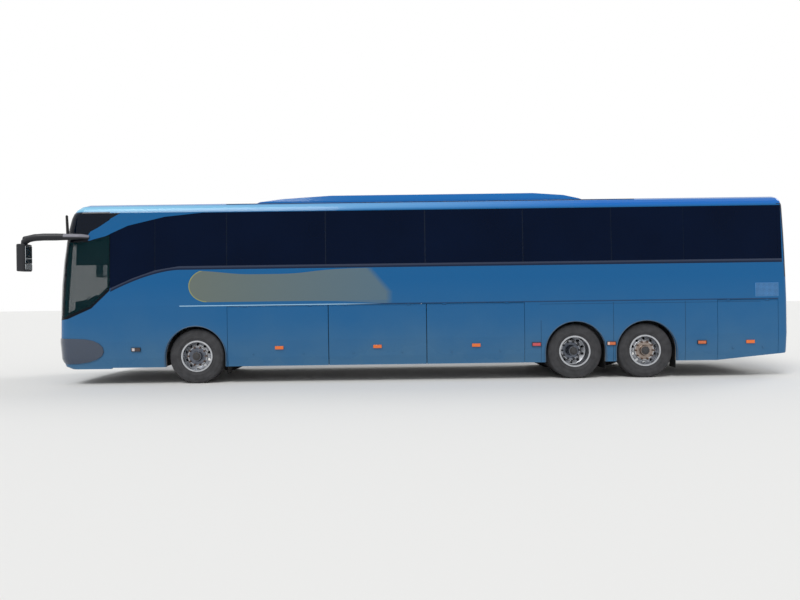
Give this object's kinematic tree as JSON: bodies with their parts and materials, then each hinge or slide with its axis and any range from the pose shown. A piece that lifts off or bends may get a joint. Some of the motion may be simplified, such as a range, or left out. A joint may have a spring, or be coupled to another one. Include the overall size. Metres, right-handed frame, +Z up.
{
  "type": "three-axle touring coach",
  "caption": "Touring coach with three axles, swept side glass, luggage flaps, two plug-swing doors on the right and forward mirrors.",
  "frame": {"origin": "on the ground under the middle of the whole object's box", "axes": "+X forward, +Y to the left side, +Z up"},
  "size_m": [14.5545, 3.08, 3.6398],
  "materials": {
    "body_paint": "gloss",
    "roof_paint": "gloss",
    "tinted_glass": "gloss",
    "black_plastic": "matte",
    "lamp_clear": "gloss",
    "lamp_red": "gloss",
    "lamp_amber": "gloss",
    "seat_fabric": "matte",
    "interior_grey": "matte",
    "dark_steel": "satin",
    "polished_alloy": "gloss",
    "tyre_rubber": "matte",
    "soft_rubber": "matte"
  },
  "bodies": {
    "coach": {"left_side_wall": "body_paint", "right_side_wall": "body_paint", "roof": "roof_paint", "front_panel": "body_paint", "front_bumper": "body_paint", "front_roof_cap": "roof_paint", "rear_panel": "body_paint", "rear_bumper": "body_paint", "windscreen": "tinted_glass", "left_windows": "tinted_glass", "right_windows": "tinted_glass", "rear_window": "tinted_glass", "roof_units": "roof_paint", "headlamps": "lamp_clear", "tail_lamps": "lamp_red", "side_markers": "lamp_amber", "mirrors": "black_plastic", "dashboard": "black_plastic", "driver_seat": "seat_fabric", "passenger_seats": "seat_fabric", "luggage_racks": "interior_grey", "saloon_floor": "interior_grey", "cab_floor": "interior_grey", "hold_tub": "interior_grey", "chassis_frame": "dark_steel", "front_axle": "dark_steel", "rear_axles": "dark_steel", "engine": "dark_steel", "mud_flaps": "soft_rubber", "window_frames": "black_plastic"},
    "left_knuckle_body": {"left_knuckle": "dark_steel"},
    "front_left_wheel": {"front_left_tyre": "tyre_rubber", "front_left_rim": "polished_alloy"},
    "drive_left_wheel": {"drive_left_tyre": "tyre_rubber", "drive_left_rim": "polished_alloy"},
    "tag_left_wheel": {"tag_left_tyre": "tyre_rubber", "tag_left_rim": "polished_alloy"},
    "right_knuckle_body": {"right_knuckle": "dark_steel"},
    "front_right_wheel": {"front_right_tyre": "tyre_rubber", "front_right_rim": "polished_alloy"},
    "drive_right_wheel": {"drive_right_tyre": "tyre_rubber", "drive_right_rim": "polished_alloy"},
    "tag_right_wheel": {"tag_right_tyre": "tyre_rubber", "tag_right_rim": "polished_alloy"},
    "steering_wheel_body": {"steering_wheel": "black_plastic"},
    "left_flap_front_body": {"left_flap_front": "body_paint"},
    "left_flap_middle_body": {"left_flap_middle": "body_paint"},
    "left_flap_rear_body": {"left_flap_rear": "body_paint"},
    "left_engine_flap_body": {"left_engine_flap": "body_paint"},
    "right_flap_front_body": {"right_flap_front": "body_paint"},
    "right_flap_middle_body": {"right_flap_middle": "body_paint"},
    "right_flap_rear_body": {"right_flap_rear": "body_paint"},
    "right_engine_flap_body": {"right_engine_flap": "body_paint"},
    "engine_lid_body": {"engine_lid": "body_paint"},
    "entrance_arms_body": {"entrance_door_arms": "dark_steel"},
    "entrance_door_body": {"entrance_door": "body_paint", "entrance_door_glass": "tinted_glass"},
    "middle_arms_body": {"middle_door_arms": "dark_steel"},
    "middle_door_body": {"middle_door": "body_paint", "middle_door_glass": "tinted_glass"}
  },
  "joints": [
    {"name": "steer_left", "type": "hinge", "parent": "coach", "child": "left_knuckle_body", "pos_m": [4.045, 0.96, 0.522], "axis": [0, 0, 1], "range_deg": [-45, 45]},
    {"name": "steer_right", "type": "hinge", "parent": "coach", "child": "right_knuckle_body", "pos_m": [4.045, -0.96, 0.522], "axis": [0, 0, 1], "range_deg": [-45, 45]},
    {"name": "front_left_roll", "type": "hinge", "parent": "left_knuckle_body", "child": "front_left_wheel", "pos_m": [4.045, 1.06, 0.522], "axis": [0, 1, 0], "continuous": true},
    {"name": "drive_left_roll", "type": "hinge", "parent": "coach", "child": "drive_left_wheel", "pos_m": [-3.205, 1.06, 0.522], "axis": [0, 1, 0], "continuous": true},
    {"name": "tag_left_roll", "type": "hinge", "parent": "coach", "child": "tag_left_wheel", "pos_m": [-4.555, 1.06, 0.522], "axis": [0, 1, 0], "continuous": true},
    {"name": "front_right_roll", "type": "hinge", "parent": "right_knuckle_body", "child": "front_right_wheel", "pos_m": [4.045, -1.06, 0.522], "axis": [0, 1, 0], "continuous": true},
    {"name": "drive_right_roll", "type": "hinge", "parent": "coach", "child": "drive_right_wheel", "pos_m": [-3.205, -1.06, 0.522], "axis": [0, 1, 0], "continuous": true},
    {"name": "tag_right_roll", "type": "hinge", "parent": "coach", "child": "tag_right_wheel", "pos_m": [-4.555, -1.06, 0.522], "axis": [0, 1, 0], "continuous": true},
    {"name": "steering_wheel_turn", "type": "hinge", "parent": "coach", "child": "steering_wheel_body", "pos_m": [5.625, 0.62, 1.71], "axis": [-0.5, 0, 0.866], "range_deg": [-810, 810]},
    {"name": "left_flap_front_lift", "type": "hinge", "parent": "coach", "child": "left_flap_front_body", "pos_m": [2.47, 1.273, 1.462], "axis": [1, 0, 0], "range_deg": [0, 85]},
    {"name": "left_flap_middle_lift", "type": "hinge", "parent": "coach", "child": "left_flap_middle_body", "pos_m": [0.57, 1.273, 1.462], "axis": [1, 0, 0], "range_deg": [0, 85]},
    {"name": "left_flap_rear_lift", "type": "hinge", "parent": "coach", "child": "left_flap_rear_body", "pos_m": [-1.3, 1.273, 1.462], "axis": [1, 0, 0], "range_deg": [0, 85]},
    {"name": "left_engine_flap_lift", "type": "hinge", "parent": "coach", "child": "left_engine_flap_body", "pos_m": [-6.485, 1.273, 1.462], "axis": [1, 0, 0], "range_deg": [0, 85]},
    {"name": "right_flap_front_lift", "type": "hinge", "parent": "coach", "child": "right_flap_front_body", "pos_m": [2.47, -1.273, 1.462], "axis": [-1, 0, 0], "range_deg": [0, 85]},
    {"name": "right_flap_middle_lift", "type": "hinge", "parent": "coach", "child": "right_flap_middle_body", "pos_m": [0.57, -1.273, 1.462], "axis": [-1, 0, 0], "range_deg": [0, 85]},
    {"name": "right_flap_rear_lift", "type": "hinge", "parent": "coach", "child": "right_flap_rear_body", "pos_m": [-0.745, -1.273, 1.462], "axis": [-1, 0, 0], "range_deg": [0, 85]},
    {"name": "right_engine_flap_lift", "type": "hinge", "parent": "coach", "child": "right_engine_flap_body", "pos_m": [-6.485, -1.273, 1.462], "axis": [-1, 0, 0], "range_deg": [0, 85]},
    {"name": "engine_lid_lift", "type": "hinge", "parent": "coach", "child": "engine_lid_body", "pos_m": [-7.263, 0, 1.98], "axis": [0, 1, 0], "range_deg": [0, 80]},
    {"name": "entrance_arms_swing", "type": "hinge", "parent": "coach", "child": "entrance_arms_body", "pos_m": [5.575, -1.15, 1.2], "axis": [0, 0, 1], "range_deg": [0, 163.34]},
    {"name": "entrance_door_keep", "type": "hinge", "parent": "entrance_arms_body", "child": "entrance_door_body", "pos_m": [5.11718, -1.12, 1.2], "axis": [0, 0, -1], "range_deg": [0, 163.34]},
    {"name": "middle_arms_swing", "type": "hinge", "parent": "coach", "child": "middle_arms_body", "pos_m": [-2.055, -1.15, 1.2], "axis": [0, 0, -1], "range_deg": [0, 163.34]},
    {"name": "middle_door_keep", "type": "hinge", "parent": "middle_arms_body", "child": "middle_door_body", "pos_m": [-1.59718, -1.12, 1.2], "axis": [0, 0, 1], "range_deg": [0, 163.34]}
  ],
  "couplings": [
    {"joint": "steer_right", "follows": "steer_left", "ratio": 1},
    {"joint": "steering_wheel_turn", "follows": "steer_left", "ratio": 18},
    {"joint": "entrance_door_keep", "follows": "entrance_arms_swing", "ratio": 1},
    {"joint": "middle_door_keep", "follows": "middle_arms_swing", "ratio": 1}
  ]
}
